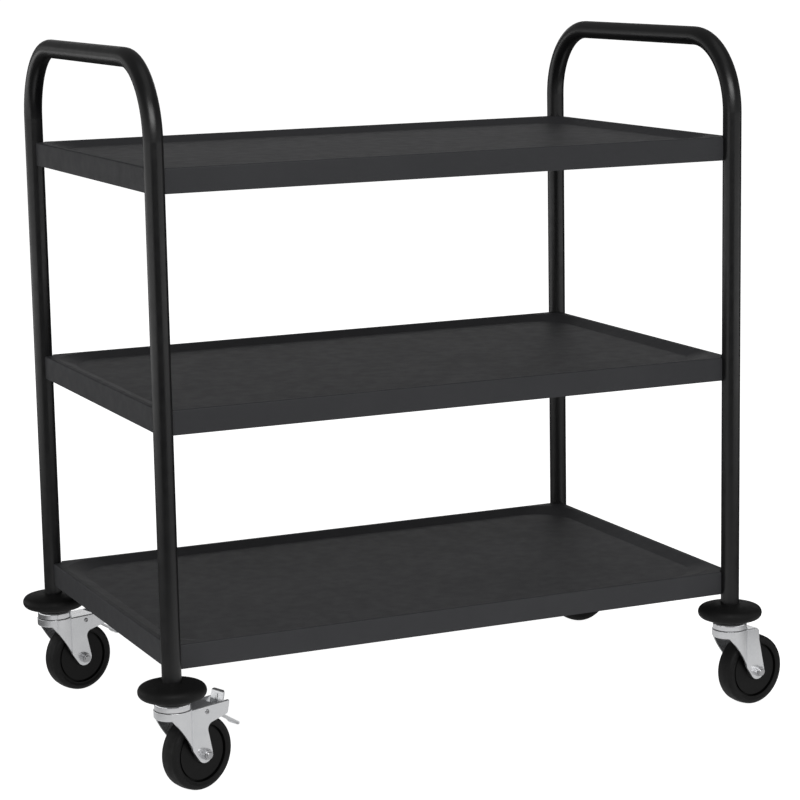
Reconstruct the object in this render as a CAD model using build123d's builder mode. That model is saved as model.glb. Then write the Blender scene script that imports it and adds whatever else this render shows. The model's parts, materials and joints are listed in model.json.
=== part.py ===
from build123d import *
from math import atan2, cos, radians, sin, tan
import os

# Rolling utility cart.  Two bent-tube end frames, each a pair of legs joined by a push
# handle, carry three folded sheet trays.  Every leg ends in a round bumper and a
# swivelling caster; the two casters of the left end have a foot brake.
# Millimetres, +Z up, +X along the trays, -Y is the front.  The origin is on the floor
# under the middle of the cart's bounding box.

# ---- Driving dimensions -------------------------------------------------------------
TRAY_LENGTH = 830.0
TRAY_WIDTH = 510.0
TRAY_RIMS = {"bottom": 196.5, "middle": 499.5, "top": 802.5}
APRON_DEPTH = 32.0
SHEET = 0.8
LEG_X = 413.0
LEG_Y = 256.5
TUBE_R = 12.7
TUBE_WALL = 1.2
HANDLE_Z = 935.5
HANDLE_BEND_R = 100.0
WHEEL_R = 50.0
TRAIL = 37.0
CASTER_TOP_Z = 125.0

# ---- Trays --------------------------------------------------------------------------
NOTCH_GAP = 0.5
RIM_FLAT = 7.0
SLOPE_RUN = 20.0
WELL_DEPTH = 7.5
WELL_CORNER_R = 60.0
RIM_BEND_R = 2.0
MOUTH_BEND_R = 3.0
DECK_BEND_R = 5.0
LIP = 12.0

# ---- Tray bolts and their threaded inserts ------------------------------------------
BOLT_DROP = 19.0
BOLT_R = 2.95
BOLT_REACH = 4.0
BOLT_HOLE_R = 3.3
BOLT_FLANGE_R = 6.0
BOLT_FLANGE_T = 1.5
BOLT_HEAD_R = 5.6
BOLT_HEAD_T = 4.0
INSERT_R = 4.4
INSERT_BORE_R = 3.05
INSERT_START = 3.0
INSERT_LENGTH = 9.3
INSERT_HOLE_R = 4.5
INSERT_BULGE_R = 6.0
INSERT_BULGE_START = 7.0
INSERT_BULGE_T = 2.3

# ---- Leg ends: plug, stem and bumper ------------------------------------------------
LEG_FOOT_Z = 148.0
PLUG_LENGTH = 22.0
PLUG_SLACK = 0.05
STEM_R = 5.9
STEM_TOP_Z = 169.0
STEM_SLACK = 0.1
STEM_FLANGE_R = 13.0
STEM_FLANGE_T = 2.2
BUMPER_R = 44.5
BUMPER_EDGE_Z = 138.5
BUMPER_TOP_Z = 151.0
BUMPER_BASE_Z = 128.5
BUMPER_BASE_R = 33.0
BUMPER_BOSS_R = 23.0
BUMPER_DOME = (27.0, 149.8)
BUMPER_SHOULDER = (38.5, 146.8)
BUMPER_HEEL = (38.8, 130.3)
BUMPER_SOCKET_GAP = 0.2

# ---- Swivel bearing -----------------------------------------------------------------
CROWN_R = 24.8
CROWN_RING_WALL = 2.5
CROWN_RING_Z = 114.8
CROWN_PLATE_Z = 112.5
RACE_R = 23.75
RACE_WALL = 2.0
RACE_RIM_Z = 115.6
RACE_ROOF_T = 2.0
RACE_BEND_R = 3.5
UPPER_BALL_R = 2.4
UPPER_BALL_RING_R = 18.8
UPPER_BALLS = 16
LOWER_BALL_R = 2.0
LOWER_BALL_RING_R = 12.3
LOWER_BALLS = 12
BALL_SEAT_GAP = 0.05
RACE_GAP = 0.3
LOWER_RACE_R = 16.0
LOWER_RACE_T = 2.0
KINGPIN_HOLE_R = 7.0
KINGPIN_HEAD_R = 9.0
KINGPIN_HEAD_T = 2.4

# ---- Fork ---------------------------------------------------------------------------
FORK_SHEET = 2.5
CHEEK_Y = 17.8
CHEEK_TIP_R = 12.0
CHEEK_TIP_START = 215.0
CHEEK_TIP_SWEEP = 152.0
CHEEK_WAIST = (41.0, 88.0)
CHEEK_WAIST_R = 9.0
CROWN_SKIRT_Z = 104.0
CROWN_FRONT = -15.0
PLAIN_CORNER = (39.5, 112.5)
PLAIN_CORNER_R = 6.0
PLAIN_REAR = (40.5, 98.0)
ARM_TIP = (76.0, 95.5)
ARM_END = (79.5, 109.0)
ARM_TIP_R = 2.5
SLOT_START = 56.0
SLOT_HALF = 14.0
FOLD_R = 1.6
CROWN_EDGE_R = 0.9
SKIRT_EDGE_R = 2.0

# ---- Wheel, axle and sleeve ---------------------------------------------------------
TYRE_HALF = 14.2
TYRE_CROWN_HALF = 7.6
TYRE_CROWN_DROP = 0.7
TYRE_SHOULDER = (12.7, 47.2)
TYRE_SIDE_R = 43.0
TYRE_SEAT_R = 40.0
TYRE_SEAT_HALF = 12.4
RIM_INNER_R = 38.2
GROOVE_INNER_R = 35.2
GROOVE_HALF = 7.0
DISC_HALF = 10.8
BOSS_HALF = 15.0
BOSS_R = 10.5
BOSS_FOOT_R = 14.0
SLEEVE_R = 6.0
WHEEL_BORE_R = 6.05
AXLE_R = 4.0
AXLE_HOLE_R = 4.05
AXLE_HEX_R = 7.4
AXLE_HEAD_T = 5.3
NUT_T = 6.0
NUT_COLLAR_R = 5.9
NUT_COLLAR_T = 2.0
AXLE_TAIL = 1.4

# ---- Foot brake ---------------------------------------------------------------------
BRAKE_PIVOT = (42.0, 105.0)
RIVET_R = 2.2
RIVET_HEAD_R = 3.4
RIVET_HEAD_T = 1.2
PEDAL_EYE_R = 4.0
PEDAL_EYE_GAP = 0.06
PEDAL_SHEET = 2.2
PEDAL_HALF = 12.0
PEDAL_BEND_R = 5.0
PEDAL_KNEE = (60.0, 101.5)
PEDAL_FORK = (70.0, 95.0)
PEDAL_TOE = (101.0, 75.5)
HEEL_BASE = (72.5, 106.0)
HEEL_TOP = (76.0, 121.5)
SPRING_SHEET = 0.8
SPRING_HALF = 5.0
SPRING_START = 22.0
SPRING_BEND = 46.0
SPRING_TIP = (55.0, 105.8)

# ---- Where each caster stands and how far it has swung from +X towards +Y -----------
CASTERS = {
    "front_left": {"x": -1, "y": -1, "swing": 20.0, "braked": True},
    "back_left": {"x": -1, "y": 1, "swing": 15.0, "braked": True},
    "front_right": {"x": 1, "y": -1, "swing": 10.0, "braked": False},
    "back_right": {"x": 1, "y": 1, "swing": 2.0, "braked": False},
}

# The casters trail towards +X, so the bounding box reaches further that way.
LEFT_REACH = LEG_X + BUMPER_R
RIGHT_REACH = LEG_X + WHEEL_R + TRAIL * cos(radians(CASTERS["back_right"]["swing"]))
CENTRE_X = (LEFT_REACH - RIGHT_REACH) / 2

CHEEK_INNER = CHEEK_Y - FORK_SHEET
CROWN_UNDERSIDE_Z = CROWN_PLATE_Z - FORK_SHEET
UPPER_RACE_Z = CROWN_PLATE_Z + 2 * UPPER_BALL_R + BALL_SEAT_GAP + RACE_GAP
LOWER_RACE_Z = CROWN_UNDERSIDE_Z - 2 * LOWER_BALL_R - BALL_SEAT_GAP - RACE_GAP


# ---- Planes -------------------------------------------------------------------------
def level(height):
    """Horizontal plane at a height, centred on the trays."""
    return Plane(origin=(CENTRE_X, 0, height))


def leg_point(x_side, y_side, height):
    return (CENTRE_X + x_side * LEG_X, y_side * LEG_Y, height)


def bolt_plane(x_side, y_side, rim):
    """Plane on a leg's axis whose normal points diagonally into the tray."""
    return Plane(origin=leg_point(x_side, y_side, rim - BOLT_DROP), z_dir=(-x_side, -y_side, 0))


def caster_plane(place):
    """Floor plane under a leg, with its X along the caster's trail."""
    swing = radians(place["swing"])
    return Plane(
        origin=leg_point(place["x"], place["y"], 0),
        x_dir=(cos(swing), sin(swing), 0),
        z_dir=(0, 0, 1),
    )


def side_plane(base):
    """Upright plane through the swivel axis: X along the trail, Y up."""
    return Plane(origin=base.origin, x_dir=base.x_dir, z_dir=-base.y_dir)


def axle_plane(base, along=0.0):
    """Plane across the axle, its origin on the axle's axis, its normal along the axle."""
    origin = base.from_local_coords(Vector(TRAIL, along, WHEEL_R))
    return Plane(origin=origin, x_dir=base.x_dir, z_dir=base.y_dir)


def wheel_section_plane(base):
    """Plane through the axle: X along the axle, Y up."""
    origin = base.from_local_coords(Vector(TRAIL, 0, WHEEL_R))
    return Plane(origin=origin, x_dir=base.y_dir, z_dir=base.x_dir)


def save(builder, name):
    builder.part.label = name
    export_step(builder.part, f"parts/{name}.step")


# ---- End frames ---------------------------------------------------------------------
def end_frame(name, x_side):
    """Leg, handle and leg as one bent tube, drilled for the tray inserts."""
    foot = leg_point(x_side, -1, LEG_FOOT_Z)
    upright = Plane(origin=(foot[0], 0, 0), x_dir=(0, 1, 0), z_dir=(1, 0, 0))
    with BuildPart() as frame:
        with BuildLine(upright):
            FilletPolyline(
                (-LEG_Y, LEG_FOOT_Z),
                (-LEG_Y, HANDLE_Z),
                (LEG_Y, HANDLE_Z),
                (LEG_Y, LEG_FOOT_Z),
                radius=HANDLE_BEND_R,
            )
        with BuildSketch(Plane(origin=foot)):
            Circle(TUBE_R)
            Circle(TUBE_R - TUBE_WALL, mode=Mode.SUBTRACT)
        sweep()
        for y_side in (-1, 1):
            for rim in TRAY_RIMS.values():
                with BuildSketch(bolt_plane(x_side, y_side, rim)):
                    Circle(INSERT_HOLE_R)
                extrude(amount=2 * TUBE_R, mode=Mode.SUBTRACT)
    save(frame, name)


def frame_inserts(name, x_side):
    """Threaded rivet nuts that sit in the legs' walls and take the tray bolts."""
    with BuildPart() as inserts:
        for y_side in (-1, 1):
            for rim in TRAY_RIMS.values():
                bolt = bolt_plane(x_side, y_side, rim)
                with BuildSketch(bolt.offset(INSERT_START)):
                    Circle(INSERT_R)
                extrude(amount=INSERT_LENGTH)
                with BuildSketch(bolt.offset(INSERT_BULGE_START)):
                    Circle(INSERT_BULGE_R)
                extrude(amount=INSERT_BULGE_T)
                with BuildSketch(bolt):
                    Circle(INSERT_BORE_R)
                extrude(amount=2 * TUBE_R, mode=Mode.SUBTRACT)
    save(inserts, name)


# ---- Trays --------------------------------------------------------------------------
def tray_outline(inset):
    """Plan of a tray, its corners hollowed to fit round the legs."""
    Rectangle(TRAY_LENGTH - 2 * inset, TRAY_WIDTH - 2 * inset)
    with GridLocations(2 * LEG_X, 2 * LEG_Y, 2, 2):
        Circle(TUBE_R + NOTCH_GAP + inset, mode=Mode.SUBTRACT)


def well_outline(run):
    """Plan of the recess, measured inwards from the tray's outer faces."""
    RectangleRounded(TRAY_LENGTH - 2 * run, TRAY_WIDTH - 2 * run, WELL_CORNER_R)


def tray_form(rim, inset):
    """Block with the recess pressed into it: one skin of the sheet, inset from the outer."""
    top = rim - inset
    widen = inset * tan(atan2(WELL_DEPTH, SLOPE_RUN) / 2)
    with BuildPart() as form:
        with BuildSketch(level(rim - APRON_DEPTH)):
            tray_outline(inset)
        extrude(amount=APRON_DEPTH - inset)
        rim_edges = form.faces().sort_by(Axis.Z)[-1].edges()
        fillet(rim_edges, RIM_BEND_R - inset)
        with BuildSketch(level(top)):
            well_outline(RIM_FLAT - widen)
        with BuildSketch(level(top - WELL_DEPTH)):
            well_outline(RIM_FLAT + SLOPE_RUN - widen)
        loft(mode=Mode.SUBTRACT)
        mouth = form.faces().sort_by(Axis.Z)[-1].inner_wires()[0]
        fillet(mouth.edges(), MOUTH_BEND_R - inset)
        deck = form.faces().filter_by(Axis.Z).group_by(Axis.Z)[-2]
        fillet(deck.edges(), DECK_BEND_R + inset)
    return form.part


def tray(name, rim):
    """Folded sheet tray: recessed deck, sloped border, apron and a lip turned inwards."""
    inner_skin = tray_form(rim, SHEET)
    with BuildPart() as body:
        add(tray_form(rim, 0.0))
        add(inner_skin, mode=Mode.SUBTRACT)
        with BuildSketch(level(rim - APRON_DEPTH)):
            tray_outline(0.0)
            Rectangle(TRAY_LENGTH - 2 * LIP, TRAY_WIDTH - 2 * LIP, mode=Mode.SUBTRACT)
        extrude(amount=SHEET)
        for x_side in (-1, 1):
            for y_side in (-1, 1):
                with BuildSketch(bolt_plane(x_side, y_side, rim)):
                    Circle(BOLT_HOLE_R)
                extrude(amount=2 * TUBE_R, mode=Mode.SUBTRACT)
    save(body, name)


def tray_bolts(name, rim):
    """Four flanged hexagon bolts, one through each hollowed corner into its leg."""
    seat = TUBE_R + NOTCH_GAP + SHEET
    with BuildPart() as bolts:
        for x_side in (-1, 1):
            for y_side in (-1, 1):
                axis = bolt_plane(x_side, y_side, rim)
                with BuildSketch(axis.offset(BOLT_REACH)):
                    Circle(BOLT_R)
                extrude(amount=seat + BOLT_FLANGE_T - BOLT_REACH)
                with BuildSketch(axis.offset(seat)):
                    Circle(BOLT_FLANGE_R)
                extrude(amount=BOLT_FLANGE_T)
                with BuildSketch(axis.offset(seat + BOLT_FLANGE_T)):
                    RegularPolygon(BOLT_HEAD_R, 6)
                extrude(amount=BOLT_HEAD_T)
    save(bolts, name)


# ---- Leg ends -----------------------------------------------------------------------
def leg_plugs(name):
    """Threaded plugs pressed into the four leg ends to take the caster stems."""
    with BuildPart() as plugs:
        with BuildSketch(level(LEG_FOOT_Z)):
            with GridLocations(2 * LEG_X, 2 * LEG_Y, 2, 2):
                Circle(TUBE_R - TUBE_WALL - PLUG_SLACK)
                Circle(STEM_R + STEM_SLACK, mode=Mode.SUBTRACT)
        extrude(amount=PLUG_LENGTH)
    save(plugs, name)


def bumper(name, base):
    """Domed rubber disc with a rounded edge, a socket for the leg and a boss below."""
    socket_r = TUBE_R + BUMPER_SOCKET_GAP
    bore_r = STEM_R + STEM_SLACK
    with BuildPart() as disc:
        with BuildSketch(side_plane(base)):
            with BuildLine():
                dome = ThreePointArc((socket_r, BUMPER_TOP_Z), BUMPER_DOME, BUMPER_SHOULDER)
                edge = ThreePointArc(dome @ 1, (BUMPER_R, BUMPER_EDGE_Z), BUMPER_HEEL)
                Polyline(
                    edge @ 1,
                    (BUMPER_BASE_R, BUMPER_BASE_Z),
                    (BUMPER_BOSS_R, BUMPER_BASE_Z),
                    (BUMPER_BOSS_R, CASTER_TOP_Z),
                    (bore_r, CASTER_TOP_Z),
                    (bore_r, LEG_FOOT_Z),
                    (socket_r, LEG_FOOT_Z),
                    dome @ 0,
                )
            make_face()
        revolve(axis=Axis(base.origin, base.z_dir))
    save(disc, name)


def stem(name, base):
    """Threaded stem, its flange under the upper race, and the kingpin with its head."""
    flange_z = CASTER_TOP_Z - RACE_ROOF_T - STEM_FLANGE_T
    head_z = LOWER_RACE_Z - LOWER_RACE_T - KINGPIN_HEAD_T
    with BuildPart() as pin:
        with BuildSketch(base.offset(head_z)):
            Circle(STEM_R)
        extrude(amount=STEM_TOP_Z - head_z)
        with BuildSketch(base.offset(head_z)):
            Circle(KINGPIN_HEAD_R)
        extrude(amount=KINGPIN_HEAD_T)
        with BuildSketch(base.offset(flange_z)):
            Circle(STEM_FLANGE_R)
        extrude(amount=STEM_FLANGE_T)
        rims = pin.edges().filter_by(GeomType.CIRCLE).sort_by(Axis.Z)
        chamfer(rims[0], KINGPIN_HEAD_T / 3)
        chamfer(rims[-1], STEM_R / 6)
    save(pin, name)


# ---- Swivel bearing -----------------------------------------------------------------
def upper_race(name, base):
    """Pressed cap over the balls, with the raceway turned inside it."""
    track_inner_r = UPPER_BALL_RING_R - 2 * UPPER_BALL_R
    with BuildPart() as cap:
        with BuildSketch(side_plane(base)) as section:
            with BuildLine():
                Polyline(
                    (STEM_R + STEM_SLACK, CASTER_TOP_Z - RACE_ROOF_T),
                    (STEM_R + STEM_SLACK, CASTER_TOP_Z),
                    (RACE_R, CASTER_TOP_Z),
                    (RACE_R, RACE_RIM_Z),
                    (RACE_R - RACE_WALL, RACE_RIM_Z),
                    (RACE_R - RACE_WALL, UPPER_RACE_Z),
                    (track_inner_r, UPPER_RACE_Z),
                    (track_inner_r, CASTER_TOP_Z - RACE_ROOF_T),
                    close=True,
                )
            make_face()
            shoulder = section.vertices().sort_by_distance((RACE_R, CASTER_TOP_Z, 0))[0]
            fillet(shoulder, RACE_BEND_R)
        revolve(axis=Axis(base.origin, base.z_dir))
    save(cap, name)


def lower_race(name, base):
    """Disc under the crown that the kingpin's head holds against the lower balls."""
    with BuildPart() as disc:
        with BuildSketch(base.offset(LOWER_RACE_Z - LOWER_RACE_T)):
            Circle(LOWER_RACE_R)
            Circle(STEM_R + STEM_SLACK, mode=Mode.SUBTRACT)
        extrude(amount=LOWER_RACE_T)
    save(disc, name)


def bearing_balls(name, base):
    """Two rings of balls, one on each side of the fork's crown plate."""
    upper_z = CROWN_PLATE_Z + BALL_SEAT_GAP + UPPER_BALL_R
    lower_z = CROWN_UNDERSIDE_Z - BALL_SEAT_GAP - LOWER_BALL_R
    with BuildPart() as balls:
        with Locations(base.offset(upper_z)):
            with PolarLocations(UPPER_BALL_RING_R, UPPER_BALLS):
                Sphere(UPPER_BALL_R)
        with Locations(base.offset(lower_z)):
            with PolarLocations(LOWER_BALL_RING_R, LOWER_BALLS):
                Sphere(LOWER_BALL_R)
    save(balls, name)


# ---- Fork ---------------------------------------------------------------------------
def fork_plan(inset):
    """Round crown running back into two flat cheeks."""
    length = 2 * ARM_END[0]
    Circle(CROWN_R - inset)
    with Locations((length / 2, 0)):
        Rectangle(length, 2 * (CHEEK_Y - inset))


def fork_side(base, braked):
    """Side view of the fork: crown skirt, raked cheeks and, when braked, rear arms."""
    front = -2 * CROWN_R
    top = CROWN_PLATE_Z
    if braked:
        rear = [(ARM_END[0], top), ARM_END, ARM_TIP]
        rounded = {CHEEK_WAIST: CHEEK_WAIST_R, ARM_TIP: ARM_TIP_R}
    else:
        rear = [PLAIN_CORNER, PLAIN_REAR]
        rounded = {PLAIN_CORNER: PLAIN_CORNER_R}
    with BuildSketch(side_plane(base)) as side:
        with BuildLine():
            tip = CenterArc((TRAIL, WHEEL_R), CHEEK_TIP_R, CHEEK_TIP_START, CHEEK_TIP_SWEEP)
            Polyline(
                tip @ 0,
                (CROWN_FRONT, CROWN_SKIRT_Z),
                (front, CROWN_SKIRT_Z),
                (front, top),
                *rear,
                CHEEK_WAIST,
                tip @ 1,
            )
        make_face()
        for corner, radius in rounded.items():
            fillet(side.vertices().sort_by_distance((*corner, 0))[0], radius)
    return side.sketch


def fork_edges(body, base, height, reach):
    """Edges at a height that lie at a given distance from the swivel axis or mid-plane."""
    chosen = []
    for edge in body.edges():
        middle = base.to_local_coords(edge.position_at(0.5))
        round_edge = edge.geom_type == GeomType.CIRCLE
        distance = Vector(middle.X, middle.Y).length if round_edge else abs(middle.Y)
        if abs(middle.Z - height) < FORK_SHEET / 10 and abs(distance - reach) < FORK_SHEET / 10:
            chosen.append(edge)
    return chosen


def fork(name, base, braked):
    """Pressed fork: a crown with a raised ball ring, and two cheeks that hold the axle."""
    side_view = fork_side(base, braked)
    with BuildPart() as body:
        with BuildSketch(base):
            fork_plan(0.0)
        extrude(amount=CROWN_PLATE_Z)
        extrude(side_view, amount=2 * CROWN_R, both=True, mode=Mode.INTERSECT)
        with BuildSketch(base):
            fork_plan(FORK_SHEET)
        extrude(amount=CROWN_UNDERSIDE_Z, mode=Mode.SUBTRACT)
        with BuildSketch(base.offset(CROWN_UNDERSIDE_Z)):
            Circle(CROWN_R)
        extrude(amount=CROWN_RING_Z - CROWN_UNDERSIDE_Z)
        with BuildSketch(base.offset(CROWN_PLATE_Z)):
            Circle(CROWN_R - CROWN_RING_WALL)
        extrude(amount=CROWN_RING_Z, mode=Mode.SUBTRACT)
        with BuildSketch(base):
            Circle(KINGPIN_HOLE_R)
        extrude(amount=CROWN_RING_Z, mode=Mode.SUBTRACT)
        with BuildSketch(axle_plane(base)):
            Circle(AXLE_HOLE_R)
        extrude(amount=2 * CHEEK_Y, both=True, mode=Mode.SUBTRACT)
        fillet(fork_edges(body, base, CROWN_PLATE_Z, CHEEK_Y), FOLD_R)
        fillet(fork_edges(body, base, CROWN_RING_Z, CROWN_R), CROWN_EDGE_R)
        fillet(fork_edges(body, base, CROWN_SKIRT_Z, CROWN_R), SKIRT_EDGE_R)
        if braked:
            with BuildSketch(base.offset(CROWN_UNDERSIDE_Z)):
                with Locations((SLOT_START + ARM_END[0], 0)):
                    Rectangle(2 * ARM_END[0], 2 * SLOT_HALF)
            extrude(amount=FORK_SHEET, mode=Mode.SUBTRACT)
            with BuildSketch(side_plane(base)):
                with Locations(BRAKE_PIVOT):
                    Circle(RIVET_R)
            extrude(amount=2 * CHEEK_Y, both=True, mode=Mode.SUBTRACT)
    save(body, name)


# ---- Wheel --------------------------------------------------------------------------
def wheel_core(name, base):
    """Moulded wheel: bossed disc, a groove round it and the rim under the tyre."""
    half = [
        (BOSS_HALF, WHEEL_BORE_R),
        (BOSS_HALF, BOSS_R),
        (DISC_HALF, BOSS_FOOT_R),
        (DISC_HALF, GROOVE_INNER_R),
        (GROOVE_HALF, GROOVE_INNER_R),
        (GROOVE_HALF, RIM_INNER_R),
        (TYRE_SEAT_HALF, RIM_INNER_R),
        (TYRE_SEAT_HALF, TYRE_SEAT_R),
    ]
    mirrored = [(-across, radius) for across, radius in reversed(half)]
    with BuildPart() as core:
        with BuildSketch(wheel_section_plane(base)):
            with BuildLine():
                Polyline(*half, *mirrored, close=True)
            make_face()
        revolve(axis=Axis(axle_plane(base).origin, base.y_dir))
    save(core, name)


def tyre(name, base):
    """Rubber tyre with a slightly crowned tread and round shoulders."""
    crown_r = WHEEL_R - TYRE_CROWN_DROP
    shoulder_x, shoulder_r = TYRE_SHOULDER
    with BuildPart() as ring:
        with BuildSketch(wheel_section_plane(base)):
            with BuildLine():
                right_tread = TangentArc((0, WHEEL_R), (TYRE_CROWN_HALF, crown_r), tangent=(1, 0))
                left_tread = TangentArc((0, WHEEL_R), (-TYRE_CROWN_HALF, crown_r), tangent=(-1, 0))
                right = ThreePointArc(right_tread @ 1, (shoulder_x, shoulder_r), (TYRE_HALF, TYRE_SIDE_R))
                left = ThreePointArc(left_tread @ 1, (-shoulder_x, shoulder_r), (-TYRE_HALF, TYRE_SIDE_R))
                Polyline(
                    right @ 1,
                    (TYRE_SEAT_HALF, TYRE_SEAT_R),
                    (-TYRE_SEAT_HALF, TYRE_SEAT_R),
                    left @ 1,
                )
            make_face()
        revolve(axis=Axis(axle_plane(base).origin, base.y_dir))
    save(ring, name)


def axle_sleeve(name, base):
    """Steel sleeve clamped between the cheeks, on which the wheel turns."""
    with BuildPart() as sleeve:
        with BuildSketch(axle_plane(base)):
            Circle(SLEEVE_R)
            Circle(AXLE_HOLE_R, mode=Mode.SUBTRACT)
        extrude(amount=CHEEK_INNER, both=True)
    save(sleeve, name)


def axle_bolt(name, base):
    """Axle bolt with its hexagon head on one side and a locking nut on the other."""
    with BuildPart() as bolt:
        with BuildSketch(axle_plane(base, -(CHEEK_Y + NUT_T + NUT_COLLAR_T + AXLE_TAIL))):
            Circle(AXLE_R)
        extrude(amount=2 * CHEEK_Y + NUT_T + NUT_COLLAR_T + AXLE_TAIL)
        chamfer(bolt.edges().sort_by(Axis(base.origin, base.y_dir))[0], AXLE_TAIL / 2)
        with BuildSketch(axle_plane(base, CHEEK_Y)):
            RegularPolygon(AXLE_HEX_R, 6)
        extrude(amount=AXLE_HEAD_T)
    bolt_piece = bolt.part
    with BuildPart() as pair:
        with BuildSketch(axle_plane(base, -(CHEEK_Y + NUT_T))):
            RegularPolygon(AXLE_HEX_R, 6)
        extrude(amount=NUT_T)
        with BuildSketch(axle_plane(base, -(CHEEK_Y + NUT_T + NUT_COLLAR_T))):
            Circle(NUT_COLLAR_R)
        extrude(amount=NUT_COLLAR_T)
        with BuildSketch(axle_plane(base, -(CHEEK_Y + NUT_T + NUT_COLLAR_T))):
            Circle(AXLE_HOLE_R)
        extrude(amount=NUT_T + NUT_COLLAR_T, mode=Mode.SUBTRACT)
        add(bolt_piece)
    save(pair, name)


# ---- Foot brake ---------------------------------------------------------------------
def brake_pedal(name, base):
    """Sheet lever on a rivet: a toe to press down, a heel to release, a shoe between."""
    with BuildPart() as pedal:
        with BuildSketch(side_plane(base)):
            with BuildLine():
                FilletPolyline(BRAKE_PIVOT, PEDAL_KNEE, PEDAL_FORK, PEDAL_TOE, radius=PEDAL_BEND_R)
            trace(line_width=PEDAL_SHEET)
            with BuildLine():
                Polyline(PEDAL_FORK, HEEL_BASE, HEEL_TOP)
            trace(line_width=PEDAL_SHEET)
            with Locations(BRAKE_PIVOT):
                Circle(PEDAL_EYE_R)
                Circle(RIVET_R + PEDAL_EYE_GAP, mode=Mode.SUBTRACT)
        extrude(amount=PEDAL_HALF, both=True)
    save(pedal, name)


def pivot_rivet(name, base):
    """Rivet through both cheeks that the pedal turns on."""
    with BuildPart() as rivet:
        with BuildSketch(side_plane(base)):
            with Locations(BRAKE_PIVOT):
                Circle(RIVET_R)
        extrude(amount=CHEEK_Y + RIVET_HEAD_T, both=True)
        for side in (-1, 1):
            with BuildSketch(side_plane(base).offset(side * CHEEK_Y)):
                with Locations(BRAKE_PIVOT):
                    Circle(RIVET_HEAD_R)
            extrude(amount=side * RIVET_HEAD_T)
    save(rivet, name)


def brake_spring(name, base):
    """Spring-steel leaf under the crown plate that snaps the pedal over."""
    seat = CROWN_UNDERSIDE_Z - SPRING_SHEET / 2
    with BuildPart() as leaf:
        with BuildSketch(side_plane(base)):
            with BuildLine():
                Polyline((SPRING_START, seat), (SPRING_BEND, seat), SPRING_TIP)
            trace(line_width=SPRING_SHEET)
        extrude(amount=SPRING_HALF, both=True)
    save(leaf, name)


# ---- The cart -----------------------------------------------------------------------
def caster(corner, place):
    base = caster_plane(place)
    bumper(f"{corner}_bumper", base)
    stem(f"{corner}_stem", base)
    upper_race(f"{corner}_upper_race", base)
    lower_race(f"{corner}_lower_race", base)
    bearing_balls(f"{corner}_bearing_balls", base)
    fork(f"{corner}_fork", base, place["braked"])
    wheel_core(f"{corner}_wheel_core", base)
    tyre(f"{corner}_tyre", base)
    axle_sleeve(f"{corner}_axle_sleeve", base)
    axle_bolt(f"{corner}_axle_bolt", base)
    if place["braked"]:
        brake_pedal(f"{corner}_brake_pedal", base)
        pivot_rivet(f"{corner}_brake_rivet", base)
        brake_spring(f"{corner}_brake_spring", base)


os.makedirs("parts", exist_ok=True)
end_frame("left_end_frame", -1)
end_frame("right_end_frame", 1)
frame_inserts("left_frame_inserts", -1)
frame_inserts("right_frame_inserts", 1)
for tier, rim_z in TRAY_RIMS.items():
    tray(f"{tier}_tray", rim_z)
    tray_bolts(f"{tier}_tray_bolts", rim_z)
leg_plugs("leg_plugs")
for corner_name, corner_place in CASTERS.items():
    caster(corner_name, corner_place)
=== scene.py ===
import json
import math

import bmesh
import bpy
from mathutils import Matrix, Vector


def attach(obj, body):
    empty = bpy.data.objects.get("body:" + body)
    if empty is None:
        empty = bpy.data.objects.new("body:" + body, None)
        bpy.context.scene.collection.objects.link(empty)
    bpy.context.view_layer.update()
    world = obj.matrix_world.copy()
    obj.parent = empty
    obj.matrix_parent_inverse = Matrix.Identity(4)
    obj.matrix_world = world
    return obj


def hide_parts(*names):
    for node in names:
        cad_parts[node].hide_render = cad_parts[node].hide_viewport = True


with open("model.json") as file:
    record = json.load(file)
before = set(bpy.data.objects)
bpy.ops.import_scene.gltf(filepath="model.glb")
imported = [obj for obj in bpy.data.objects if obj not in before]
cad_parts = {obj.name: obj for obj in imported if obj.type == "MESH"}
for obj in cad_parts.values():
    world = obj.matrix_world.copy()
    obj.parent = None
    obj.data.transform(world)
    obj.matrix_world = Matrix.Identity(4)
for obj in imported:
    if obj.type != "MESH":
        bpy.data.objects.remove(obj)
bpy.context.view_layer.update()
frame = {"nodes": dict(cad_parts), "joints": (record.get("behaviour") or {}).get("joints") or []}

# Looks for the three-tier rolling utility cart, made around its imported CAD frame.
# Metres, +Z up, -Y is the front.  The origin is on the floor under the cart's middle.

# ---- Camera -------------------------------------------------------------------------
CAMERA_AZIMUTH = math.radians(-24.212)
CAMERA_ELEVATION = math.radians(10.232)
CAMERA_ROLL = math.radians(-1.043)
CAMERA_DISTANCE = 3.6523
CAMERA_TARGET = Vector((0.0064, 0.0, 0.4342))
CAMERA_LENS = 116.58
CAMERA_SENSOR = 36.0

# ---- Which finish each CAD node gets, by the end of its name ------------------------
NODE_SLOTS = {
    "_end_frame": "frame_powder_coat",
    "_tray": "tray_powder_coat",
    "_tray_bolts": "black_bolts",
    "_frame_inserts": "plain_steel",
    "leg_plugs": "plain_steel",
    "_stem": "plain_steel",
    "_axle_sleeve": "plain_steel",
    "_bumper": "bumper_rubber",
    "_axle_bolt": "zinc_hardware",
    "_brake_rivet": "zinc_hardware",
    "_upper_race": "bright_race",
    "_lower_race": "bright_race",
    "_bearing_balls": "bearing_steel",
    "_fork": "zinc_fork",
    "_wheel_core": "wheel_plastic",
    "_tyre": "tyre_rubber",
    "_brake_pedal": "zinc_pedal",
    "_brake_spring": "spring_steel",
}


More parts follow.
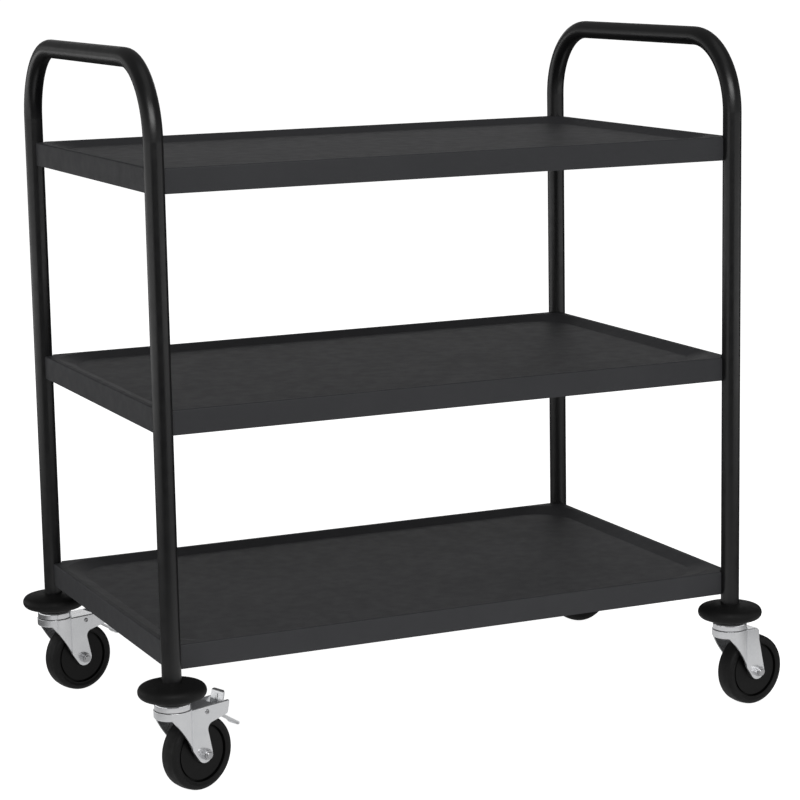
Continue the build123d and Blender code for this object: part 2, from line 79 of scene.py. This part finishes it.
def camera_axes():
    """The camera's right, up and backward directions."""
    azimuth, elevation, roll = CAMERA_AZIMUTH, CAMERA_ELEVATION, CAMERA_ROLL
    flat = math.cos(elevation)
    back = Vector((math.sin(azimuth) * flat, -math.cos(azimuth) * flat, math.sin(elevation)))
    level_right = (-back).cross(Vector((0, 0, 1))).normalized()
    level_up = level_right.cross(-back)
    right = math.cos(roll) * level_right + math.sin(roll) * level_up
    up = -math.sin(roll) * level_right + math.cos(roll) * level_up
    return right, up, back


def add_camera():
    right, up, back = camera_axes()
    data = bpy.data.cameras.new("camera")
    data.lens = CAMERA_LENS
    data.sensor_width = CAMERA_SENSOR
    camera = bpy.data.objects.new("camera", data)
    bpy.context.scene.collection.objects.link(camera)
    turn = Matrix((right, up, back)).transposed().to_4x4()
    camera.matrix_world = Matrix.Translation(CAMERA_TARGET + back * CAMERA_DISTANCE) @ turn
    bpy.context.scene.camera = camera


# ---- Studio -------------------------------------------------------------------------
# How bright the white room is to the cart, where 1 is how bright the camera sees it.
ROOM_LEVEL = 0.13
# Name, azimuth and elevation in degrees, distance, width, height, radiance.
SOFT_BOXES = [
    ("left_low_bank", -105.0, -3.5, 2.3, 6.0, 0.62, 1.05),
    ("left_high_bank", -105.0, 14.0, 2.3, 6.0, 0.8, 0.3),
    ("right_low_bank", 44.0, -3.5, 2.3, 3.4, 0.62, 0.85),
    ("right_high_bank", 44.0, 14.0, 2.3, 3.4, 0.8, 0.15),
    ("front_low", -24.0, 14.0, 3.6, 3.0, 0.9, 0.3),
    ("front_key", -14.0, 32.0, 3.6, 2.8, 1.2, 4.3),
    ("back_low", 156.0, 12.0, 4.5, 3.6, 0.9, 0.72),
    ("overhead", 10.0, 78.0, 3.2, 2.4, 2.4, 0.25),
]
CART_MIDDLE = 0.45
FLOOR_SIZE = 160.0
FLOOR_DROP = 0.0003
FLOOR_ROUGH = 0.9
PAPER_DEEP = (0.93, 0.93, 0.93)
PAPER_PALE = (0.97, 0.97, 0.97)
# The cart sees a darker floor, apart from a glowing round patch in front of it.
FLOOR_BOUNCE = (0.14, 0.14, 0.14)
FLOOR_GLOW = 1.0
NEAR_GLOW = 0.52
NEAR_CENTRE = (-0.05, -0.38, 0.0)
NEAR_INNER = 0.70
NEAR_OUTER = 1.05


def compass(azimuth, elevation):
    """A unit direction; azimuth 0 points to the front, -Y."""
    flat = math.cos(elevation)
    return Vector((math.sin(azimuth) * flat, -math.cos(azimuth) * flat, math.sin(elevation)))


def studio_world():
    """A dim room whose walls the camera sees as white paper."""
    world = bpy.data.worlds.new("studio")
    world.use_nodes = True
    tree = world.node_tree
    tree.nodes.clear()
    seen = tree.nodes.new("ShaderNodeLightPath").outputs["Is Camera Ray"]
    level = tree.nodes.new("ShaderNodeMapRange")
    level.inputs["To Min"].default_value = ROOM_LEVEL
    level.inputs["To Max"].default_value = 1.0
    tree.links.new(seen, level.inputs["Value"])
    room = tree.nodes.new("ShaderNodeBackground")
    room.inputs["Color"].default_value = (1.0, 1.0, 1.0, 1.0)
    tree.links.new(level.outputs["Result"], room.inputs["Strength"])
    out = tree.nodes.new("ShaderNodeOutputWorld")
    tree.links.new(room.outputs["Background"], out.inputs["Surface"])
    bpy.context.scene.world = world


def soft_box(name, azimuth, elevation, distance, width, height, radiance):
    """An upright rectangular light that faces the cart's middle."""
    data = bpy.data.lights.new(name, "AREA")
    data.shape = "RECTANGLE"
    data.size = width
    data.size_y = height
    data.energy = radiance * width * height * math.pi
    light = bpy.data.objects.new(name, data)
    light.visible_camera = False
    bpy.context.scene.collection.objects.link(light)
    toward = compass(math.radians(azimuth), math.radians(elevation))
    light.location = Vector((0.0, 0.0, CART_MIDDLE)) + toward * distance
    light.rotation_euler = toward.to_track_quat("Z", "Y").to_euler()


def floor():
    """Pale paper floor: white to the camera, and less bright to what stands on it."""
    half = FLOOR_SIZE / 2
    mesh = bpy.data.meshes.new("floor")
    corners = [(-half, -half, 0), (half, -half, 0), (half, half, 0), (-half, half, 0)]
    mesh.from_pydata(corners, [], [(0, 1, 2, 3)])
    obj = bpy.data.objects.new("floor", mesh)
    bpy.context.scene.collection.objects.link(obj)
    obj.location.z = -FLOOR_DROP
    finish = Finish("floor_paper")
    shader = finish.shader
    shader.inputs["Roughness"].default_value = FLOOR_ROUGH
    shader.inputs["Specular IOR Level"].default_value = 0.0
    fibre = finish.blotches(finish.noise(2.0, 3.0), 0.0, 1.0)
    paper = finish.mix(fibre, PAPER_DEEP, PAPER_PALE)
    seen = finish.tree.nodes.new("ShaderNodeLightPath").outputs["Is Camera Ray"]
    finish.tree.links.new(finish.mix(seen, FLOOR_BOUNCE, paper), shader.inputs["Base Color"])
    finish.tree.links.new(paper, shader.inputs["Emission Color"])
    reach = finish.tree.nodes.new("ShaderNodeVectorMath")
    reach.operation = "DISTANCE"
    finish.tree.links.new(finish.place, reach.inputs[0])
    reach.inputs[1].default_value = NEAR_CENTRE
    near = finish.spread(reach.outputs["Value"], NEAR_INNER, NEAR_OUTER, NEAR_GLOW, 0.0)
    unseen = finish.math("MULTIPLY", finish.math("SUBTRACT", 1.0, seen), near)
    glow = finish.math("ADD", finish.math("MULTIPLY", seen, FLOOR_GLOW), unseen)
    finish.tree.links.new(glow, shader.inputs["Emission Strength"])
    obj.data.materials.append(finish.material)


# ---- Material building --------------------------------------------------------------
NOISE_LOW = 0.3
NOISE_HIGH = 0.7
MIX_FIRST = 6
MIX_SECOND = 7
MIX_RESULT = 2


class Finish:
    """A procedural material being made: its node tree, shader and object coordinates."""

    def __init__(self, name):
        self.material = bpy.data.materials.new(name)
        self.material.use_nodes = True
        self.tree = self.material.node_tree
        self.shader = self.tree.nodes["Principled BSDF"]
        self.place = self.tree.nodes.new("ShaderNodeTexCoord").outputs["Object"]

    def node(self, kind, **inputs):
        made = self.tree.nodes.new(kind)
        for key, value in inputs.items():
            socket = made.inputs[key.replace("_", " ")]
            if isinstance(value, bpy.types.NodeSocket):
                self.tree.links.new(value, socket)
            else:
                socket.default_value = value
        return made

    def noise(self, scale, detail=2.0, roughness=0.5, place=None):
        """Cloudy noise; scale is in features per metre."""
        made = self.node("ShaderNodeTexNoise", Scale=scale, Detail=detail, Roughness=roughness)
        self.tree.links.new(place or self.place, made.inputs["Vector"])
        return made.outputs["Fac"]

    def spread(self, value, low, high, to_low, to_high):
        made = self.node("ShaderNodeMapRange", Value=value)
        made.inputs["From Min"].default_value = low
        made.inputs["From Max"].default_value = high
        made.inputs["To Min"].default_value = to_low
        made.inputs["To Max"].default_value = to_high
        return made.outputs["Result"]

    def blotches(self, value, to_low, to_high):
        """Stretches a noise's middle range, so that its patches reach both ends."""
        return self.spread(value, NOISE_LOW, NOISE_HIGH, to_low, to_high)

    def math(self, operation, a, b):
        made = self.tree.nodes.new("ShaderNodeMath")
        made.operation = operation
        for socket, value in zip(made.inputs, (a, b)):
            if isinstance(value, bpy.types.NodeSocket):
                self.tree.links.new(value, socket)
            else:
                socket.default_value = value
        return made.outputs["Value"]

    def mix(self, factor, first, second):
        made = self.tree.nodes.new("ShaderNodeMix")
        made.data_type = "RGBA"
        self.tree.links.new(factor, made.inputs["Factor"])
        for place, value in ((MIX_FIRST, first), (MIX_SECOND, second)):
            socket = made.inputs[place]
            if isinstance(value, bpy.types.NodeSocket):
                self.tree.links.new(value, socket)
            else:
                socket.default_value = (*value, 1.0)
        return made.outputs[MIX_RESULT]

    def colour(self, factor, first, second):
        self.tree.links.new(self.mix(factor, first, second), self.shader.inputs["Base Color"])

    def rough(self, value):
        self.tree.links.new(value, self.shader.inputs["Roughness"])

    def bump(self, height, distance, strength=1.0):
        made = self.node("ShaderNodeBump", Height=height, Distance=distance, Strength=strength)
        self.tree.links.new(made.outputs["Normal"], self.shader.inputs["Normal"])
        return made

    def metal(self, value=1.0):
        self.shader.inputs["Metallic"].default_value = value


def powder_coat(name, deep, pale, rough, peel, grain, specular=0.5):
    """Baked powder paint: a fine orange peel, a finer grain and faint clouding."""
    finish = Finish(name)
    cloud = finish.noise(9.0, 4.0, 0.6)
    finish.colour(finish.blotches(cloud, 0.0, 1.0), deep, pale)
    patch = finish.noise(60.0, 3.0)
    finish.rough(finish.blotches(patch, *rough))
    waves = finish.math("MULTIPLY", finish.noise(650.0, 2.0), peel)
    specks = finish.math("MULTIPLY", finish.noise(2600.0, 1.0), grain)
    finish.bump(finish.math("ADD", waves, specks), 1.0)
    finish.shader.inputs["Specular IOR Level"].default_value = specular
    return finish.material


def plated(name, deep, pale, rough, metal=1.0):
    """Bright zinc plating over pressed steel: slight clouding and fine drawing marks."""
    finish = Finish(name)
    finish.metal(metal)
    cloud = finish.noise(45.0, 5.0, 0.6)
    finish.colour(finish.blotches(cloud, 0.0, 1.0), deep, pale)
    patch = finish.noise(220.0, 3.0)
    finish.rough(finish.spread(patch, 0.25, 0.75, *rough))
    ripple = finish.noise(380.0, 3.0, 0.55)
    finish.bump(ripple, 0.00002)
    return finish.material


def moulded(name, deep, pale, rough, grain, specular=0.3):
    """Moulded rubber or plastic with a fine spark-eroded grain."""
    finish = Finish(name)
    cloud = finish.noise(30.0, 4.0, 0.6)
    finish.colour(finish.blotches(cloud, 0.0, 1.0), deep, pale)
    patch = finish.noise(140.0, 3.0)
    finish.rough(finish.blotches(patch, *rough))
    specks = finish.noise(1500.0, 2.0)
    finish.bump(specks, grain)
    finish.shader.inputs["Specular IOR Level"].default_value = specular
    return finish.material


# Per finish: its maker, darkest and palest colour, least and most roughness, and the
# maker's own values: bump heights in metres, specular level, or how far it is bare metal.
FINISHES = {
    "frame_powder_coat": (
        powder_coat, (0.003, 0.003, 0.0035), (0.005, 0.005, 0.0055), (0.29, 0.36),
        {"peel": 0.00002, "grain": 0.000006, "specular": 0.66}),
    "tray_powder_coat": (
        powder_coat, (0.0408, 0.0415, 0.0452), (0.0468, 0.0475, 0.0515), (0.54, 0.62),
        {"peel": 0.00003, "grain": 0.00001, "specular": 0.4}),
    "black_bolts": (
        powder_coat, (0.010, 0.010, 0.011), (0.016, 0.016, 0.017), (0.32, 0.45),
        {"peel": 0.00002, "grain": 0.00001}),
    "plain_steel": (plated, (0.35, 0.35, 0.36), (0.48, 0.48, 0.49), (0.30, 0.45), {}),
    "bumper_rubber": (
        moulded, (0.007, 0.007, 0.007), (0.010, 0.010, 0.010), (0.50, 0.62),
        {"grain": 0.00004, "specular": 0.22}),
    # Zinc on the axle bolts and rivets, darker than the fork's zinc: painted shade for the nut's
    # shaded side.
    "zinc_hardware": (
        plated, (0.50, 0.50, 0.51), (0.62, 0.62, 0.63), (0.24, 0.34), {"metal": 0.9}),
    "bright_race": (
        plated, (0.90, 0.91, 0.93), (0.96, 0.96, 0.98), (0.08, 0.13), {"metal": 0.82}),
    "bearing_steel": (plated, (0.60, 0.60, 0.61), (0.70, 0.70, 0.71), (0.06, 0.10), {}),
    "zinc_fork": (
        plated, (0.86, 0.87, 0.89), (0.94, 0.945, 0.96), (0.15, 0.24), {"metal": 0.78}),
    "wheel_plastic": (
        moulded, (0.003, 0.003, 0.003), (0.005, 0.005, 0.005), (0.36, 0.48),
        {"grain": 0.00003, "specular": 0.2}),
    "tyre_rubber": (
        moulded, (0.006, 0.006, 0.006), (0.009, 0.009, 0.009), (0.50, 0.66),
        {"grain": 0.00005, "specular": 0.25}),
    "zinc_pedal": (
        plated, (0.78, 0.79, 0.81), (0.86, 0.87, 0.88), (0.24, 0.34), {"metal": 0.85}),
    "spring_steel": (plated, (0.30, 0.30, 0.31), (0.40, 0.40, 0.41), (0.25, 0.38), {}),
}


def make_materials():
    made = {}
    for name, (maker, deep, pale, rough, more) in FINISHES.items():
        made[name] = maker(name, deep, pale, rough, **more)
    return made


def slot_of(node):
    """The finish of a CAD node: the longest name ending that fits."""
    fits = [ending for ending in NODE_SLOTS if node.endswith(ending)]
    return NODE_SLOTS[max(fits, key=len)]


def dress_frame(materials):
    """Gives every CAD node its finish."""
    for name, obj in frame["nodes"].items():
        obj.data.materials.clear()
        obj.data.materials.append(materials[slot_of(name)])


# ---- Brake pedals -------------------------------------------------------------------
# Millimetres from the brake's pivot: along the trailing direction, then up.
LEVER_LINE = [(3.2, -0.6), (18.0, -3.5), (28.0, -10.0), (57.0, -28.2)]
HEEL_LINE = [(28.0, -9.0), (30.5, 1.0), (34.0, 15.6)]
PEDAL_BEND = 5.0
BEND_STEPS = 6
LIP_STEPS = 9
PEDAL_HALF_WIDTH = 12.0
PEDAL_SHEET = 2.2
PEDAL_EYE_OUTER = 4.0
PEDAL_EYE_INNER = 2.3
LIP_BEND = 2.6
TOE_LIP_TURN = math.radians(-100.0)
HEEL_LIP_TURN = math.radians(-80.0)
CORNER_ROUND = 4.0
RIB_RISE = 0.9
RIB_HALF = 3.2
EDGE_BREAK = 0.35
LEVER_RIB = (36.0, 62.0)
HEEL_RIB = (12.0, 24.0)
SHARP_ANGLE = math.radians(40.0)
MILLIMETRE = 0.001


def arc_points(start, heading, radius, turn, steps):
    """Points of an arc that leaves start along heading, after start itself."""
    side = math.copysign(1.0, turn)
    centre = start + Vector((-heading.y, heading.x)) * side * radius
    arm = start - centre
    arc = []
    for step in range(1, steps + 1):
        angle = turn * step / steps
        swung = Vector((
            arm.x * math.cos(angle) - arm.y * math.sin(angle),
            arm.x * math.sin(angle) + arm.y * math.cos(angle),
        ))
        arc.append(centre + swung)
    return arc


def bend_points(before, corner, after, radius):
    """Points of the arc that rounds one corner of a line."""
    into = (corner - before).normalized()
    out = (after - corner).normalized()
    turn = math.atan2(into.x * out.y - into.y * out.x, into.dot(out))
    start = corner - into * radius * abs(math.tan(turn / 2))
    return [start] + arc_points(start, into, radius, turn, BEND_STEPS)


def strip_line(corners, lip_turn, spacing=1.0):
    """A bent strip's centre line, evenly filled, with a curled end."""
    corners = [Vector(corner) for corner in corners]
    knots = [corners[0]]
    for before, corner, after in zip(corners, corners[1:], corners[2:]):
        knots += bend_points(before, corner, after, PEDAL_BEND)
    knots.append(corners[-1])
    last_heading = (corners[-1] - corners[-2]).normalized()
    knots += arc_points(corners[-1], last_heading, LIP_BEND, lip_turn, LIP_STEPS)
    line = [knots[0]]
    for knot in knots[1:]:
        gap = (knot - line[-1]).length
        parts = max(1, round(gap / spacing))
        start = line[-1]
        line += [start.lerp(knot, part / parts) for part in range(1, parts + 1)]
    return line


def along(line):
    """Distance of each point from the line's start."""
    reached = [0.0]
    for before, after in zip(line, line[1:]):
        reached.append(reached[-1] + (after - before).length)
    return reached


def bump_shape(value):
    """A smooth hill: 1 at 0, and 0 at -1 and 1."""
    return (1.0 - value * value) ** 2 if abs(value) < 1.0 else 0.0


def sheet_strip(shape, line, rib_from, rib_to, columns=24):
    """Adds a bent strip of sheet metal, with rounded end corners and a pressed rib."""
    reached = along(line)
    length = reached[-1]
    layers = {1: [], -1: []}
    for index, point in enumerate(line):
        ahead = line[min(index + 1, len(line) - 1)]
        behind = line[max(index - 1, 0)]
        heading = (ahead - behind).normalized()
        normal = Vector((-heading.y, heading.x))
        left = min(CORNER_ROUND, length - reached[index])
        inset = CORNER_ROUND - math.sqrt(CORNER_ROUND ** 2 - (CORNER_ROUND - left) ** 2)
        half = PEDAL_HALF_WIDTH - inset
        middle = (rib_from + rib_to) / 2
        lengthwise = bump_shape((reached[index] - middle) / (rib_to - rib_from) * 2) ** 0.5
        for side, rows in layers.items():
            row = []
            for column in range(columns + 1):
                across = half * (2 * column / columns - 1)
                lift = RIB_RISE * lengthwise * bump_shape(across / RIB_HALF)
                spot = point + normal * (side * PEDAL_SHEET / 2 + lift)
                row.append(shape.verts.new((spot.x, across, spot.y)))
            rows.append(row)
    upper, lower = layers[1], layers[-1]
    for first, second in zip(range(len(line) - 1), range(1, len(line))):
        for column in range(columns):
            a, b = upper[first][column], upper[first][column + 1]
            c, d = upper[second][column + 1], upper[second][column]
            shape.faces.new((a, b, c, d))
            a, b = lower[first][column], lower[first][column + 1]
            c, d = lower[second][column + 1], lower[second][column]
            shape.faces.new((d, c, b, a))
        shape.faces.new((upper[first][0], upper[second][0], lower[second][0], lower[first][0]))
        shape.faces.new((lower[first][-1], lower[second][-1], upper[second][-1], upper[first][-1]))
    for column in range(columns):
        a, b = column, column + 1
        shape.faces.new((upper[0][b], upper[0][a], lower[0][a], lower[0][b]))
        shape.faces.new((upper[-1][a], upper[-1][b], lower[-1][b], lower[-1][a]))


def ring_tube(shape, outer, inner, half, around=48):
    """Adds a tube about the pivot, along the pedal's width."""
    rings = []
    for radius, across in ((outer, -half), (outer, half), (inner, half), (inner, -half)):
        ring = []
        for step in range(around):
            angle = 2 * math.pi * step / around
            ring.append(shape.verts.new((radius * math.cos(angle), across, radius * math.sin(angle))))
        rings.append(ring)
    for ring, following in zip(rings, rings[1:] + rings[:1]):
        for step in range(around):
            ahead = (step + 1) % around
            shape.faces.new((ring[step], ring[ahead], following[ahead], following[step]))


def joint_named(name):
    return next(joint for joint in frame["joints"] if joint["name"] == name)


def pivot_piece(shape, corner, ending, material):
    """Makes a piece of a shape drawn in millimetres about a brake's pivot."""
    joint = joint_named(corner + "_brake_press")
    across = Vector(joint["axis"])
    up = Vector((0, 0, 1))
    bmesh.ops.recalc_face_normals(shape, faces=shape.faces)
    mesh = bpy.data.meshes.new(corner + ending)
    shape.to_mesh(mesh)
    shape.free()
    mesh.shade_smooth()
    mesh.set_sharp_from_angle(angle=SHARP_ANGLE)
    mesh.materials.append(material)
    piece = bpy.data.objects.new(corner + ending, mesh)
    bpy.context.scene.collection.objects.link(piece)
    turn = Matrix((across.cross(up), across, up)).transposed().to_4x4()
    piece.matrix_world = Matrix.Translation(joint["pos_m"]) @ turn @ Matrix.Scale(MILLIMETRE, 4)
    return piece


def brake_pedal(corner, material):
    """Formed sheet pedal: a ribbed toe with a rolled lip, a turned heel tab and an eye."""
    shape = bmesh.new()
    lever = strip_line(LEVER_LINE, TOE_LIP_TURN)
    heel = strip_line(HEEL_LINE, HEEL_LIP_TURN)
    sheet_strip(shape, lever, *LEVER_RIB)
    sheet_strip(shape, heel, *HEEL_RIB)
    ring_tube(shape, PEDAL_EYE_OUTER, PEDAL_EYE_INNER, PEDAL_HALF_WIDTH)
    piece = pivot_piece(shape, corner, "_formed_pedal", material)
    edge = piece.modifiers.new("edge", "BEVEL")
    edge.width = EDGE_BREAK
    edge.segments = 2
    edge.angle_limit = SHARP_ANGLE
    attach(piece, corner + "_brake")
    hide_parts(corner + "_brake_pedal")


# Tubular rivet: radius and distance along its axis from the caster's middle, millimetres.
RIVET_HALF = [
    (0.0, 17.9), (1.2, 17.9), (1.5, 19.0), (2.1, 19.3),
    (2.8, 19.0), (3.2, 18.3), (3.2, 17.8), (2.2, 17.8),
]


def turned(shape, profile, around=40):
    """Adds a closed turned solid about the pivot; its profile starts and ends on the axis."""
    rings = []
    for radius, across in profile:
        if radius == 0.0:
            rings.append([shape.verts.new((0.0, across, 0.0))] * around)
            continue
        ring = []
        for step in range(around):
            angle = 2 * math.pi * step / around
            ring.append(shape.verts.new((radius * math.cos(angle), across, radius * math.sin(angle))))
        rings.append(ring)
    for ring, following in zip(rings, rings[1:]):
        for step in range(around):
            ahead = (step + 1) % around
            corners = [ring[step], ring[ahead], following[ahead], following[step]]
            shape.faces.new(list(dict.fromkeys(corners)))


def brake_rivet(corner, material):
    """Tubular rivet with a rolled, hollow head outside each cheek."""
    shape = bmesh.new()
    turned(shape, RIVET_HALF + [(radius, -across) for radius, across in reversed(RIVET_HALF)])
    piece = pivot_piece(shape, corner, "_tubular_rivet", material)
    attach(piece, corner + "_swivel")
    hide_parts(corner + "_brake_rivet")


bpy.context.scene.view_settings.view_transform = "Standard"
add_camera()
studio_world()
for name, *placing in SOFT_BOXES:
    soft_box(name, *placing)
floor()
materials = make_materials()
dress_frame(materials)
for corner in ("front_left", "back_left"):
    brake_pedal(corner, materials["zinc_pedal"])
    brake_rivet(corner, materials["zinc_hardware"])
